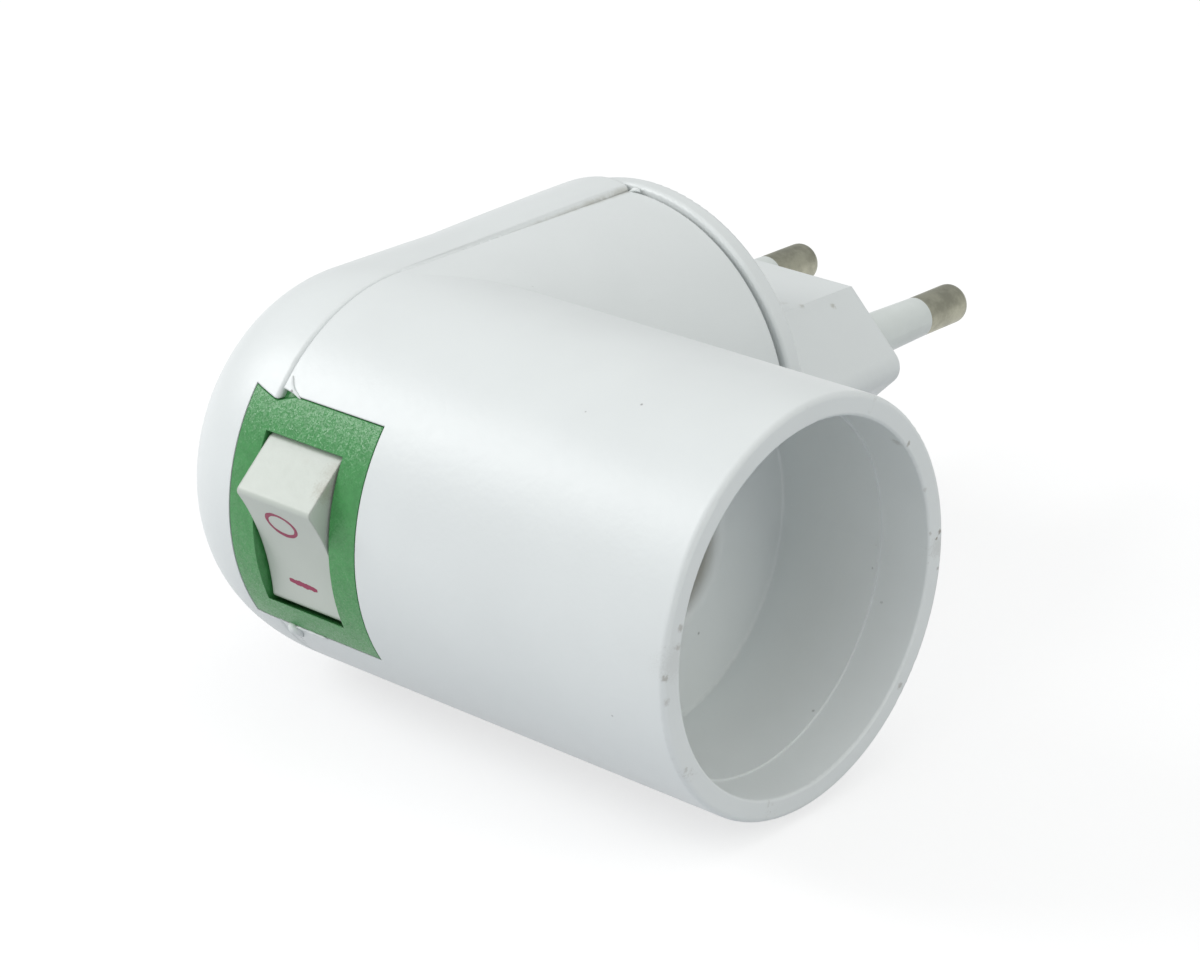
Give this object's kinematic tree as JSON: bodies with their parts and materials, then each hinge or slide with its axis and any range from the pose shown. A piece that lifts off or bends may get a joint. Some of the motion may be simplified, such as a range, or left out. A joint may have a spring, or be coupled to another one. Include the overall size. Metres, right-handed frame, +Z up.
{
  "type": "plug-in lamp holder",
  "caption": "Plug-in holder for a small screw lamp, with a rocker switch and a two-pin plug that turns 90 degrees.",
  "frame": {"origin": "middle of the plug's engagement face, between the two pins, on the swivel's axis", "axes": "+X the way the lamp shroud opens, +Y the way the pins point, +Z up as the holder lies on its side"},
  "size_m": [0.0642, 0.0886, 0.038],
  "materials": {
    "white_plastic": "satin-gloss moulding",
    "green_plastic": "fine grained moulding",
    "nickel_brass": "dull nickel",
    "sleeve_plastic": "smooth",
    "inner_plastic": "matt",
    "brass": "pressed sheet",
    "steel": "zinc plated",
    "wire_skin": "smooth"
  },
  "bodies": {
    "housing": {"front_body": "white_plastic", "rear_cover": "white_plastic", "cover_screws": "steel", "switch_frame": "green_plastic", "switch_base": "inner_plastic", "pivot_terminal": "brass", "lamp_terminal": "brass", "terminal_rivet": "brass", "screw_shell": "brass", "socket_base": "inner_plastic", "centre_contact": "brass", "contact_eyelet": "brass", "swivel_plate": "inner_plastic", "contact_arc_front": "brass", "contact_arc_rear": "brass", "live_wire": "wire_skin", "lamp_wire": "wire_skin", "neutral_wire": "wire_skin"},
    "plug": {"plug_body": "white_plastic", "pin_front": "nickel_brass", "pin_rear": "nickel_brass", "pin_sleeve_front": "sleeve_plastic", "pin_sleeve_rear": "sleeve_plastic"},
    "rocker": {"rocker": "white_plastic", "rocker_plunger": "inner_plastic", "rocker_spring": "steel"},
    "switch_contact": {"contact_blade": "brass", "blade_rivet": "brass"}
  },
  "joints": [
    {"name": "plug_swivel", "type": "hinge", "parent": "housing", "child": "plug", "pos_m": [0, -0.02, 0], "axis": [0, 1, 0], "range_deg": [0, 90]},
    {"name": "rocker_tilt", "type": "hinge", "parent": "housing", "child": "rocker", "pos_m": [0.0037, -0.0626, 0.0002], "axis": [-1, 0, 0], "range_deg": [0, 39]},
    {"name": "contact_tilt", "type": "hinge", "parent": "housing", "child": "switch_contact", "pos_m": [0.0037, -0.05651, 0.00026], "axis": [1, 0, 0], "range_deg": [0, 15.9]}
  ],
  "couplings": [
    {"joint": "contact_tilt", "follows": "rocker_tilt", "ratio": 0.4077}
  ]
}
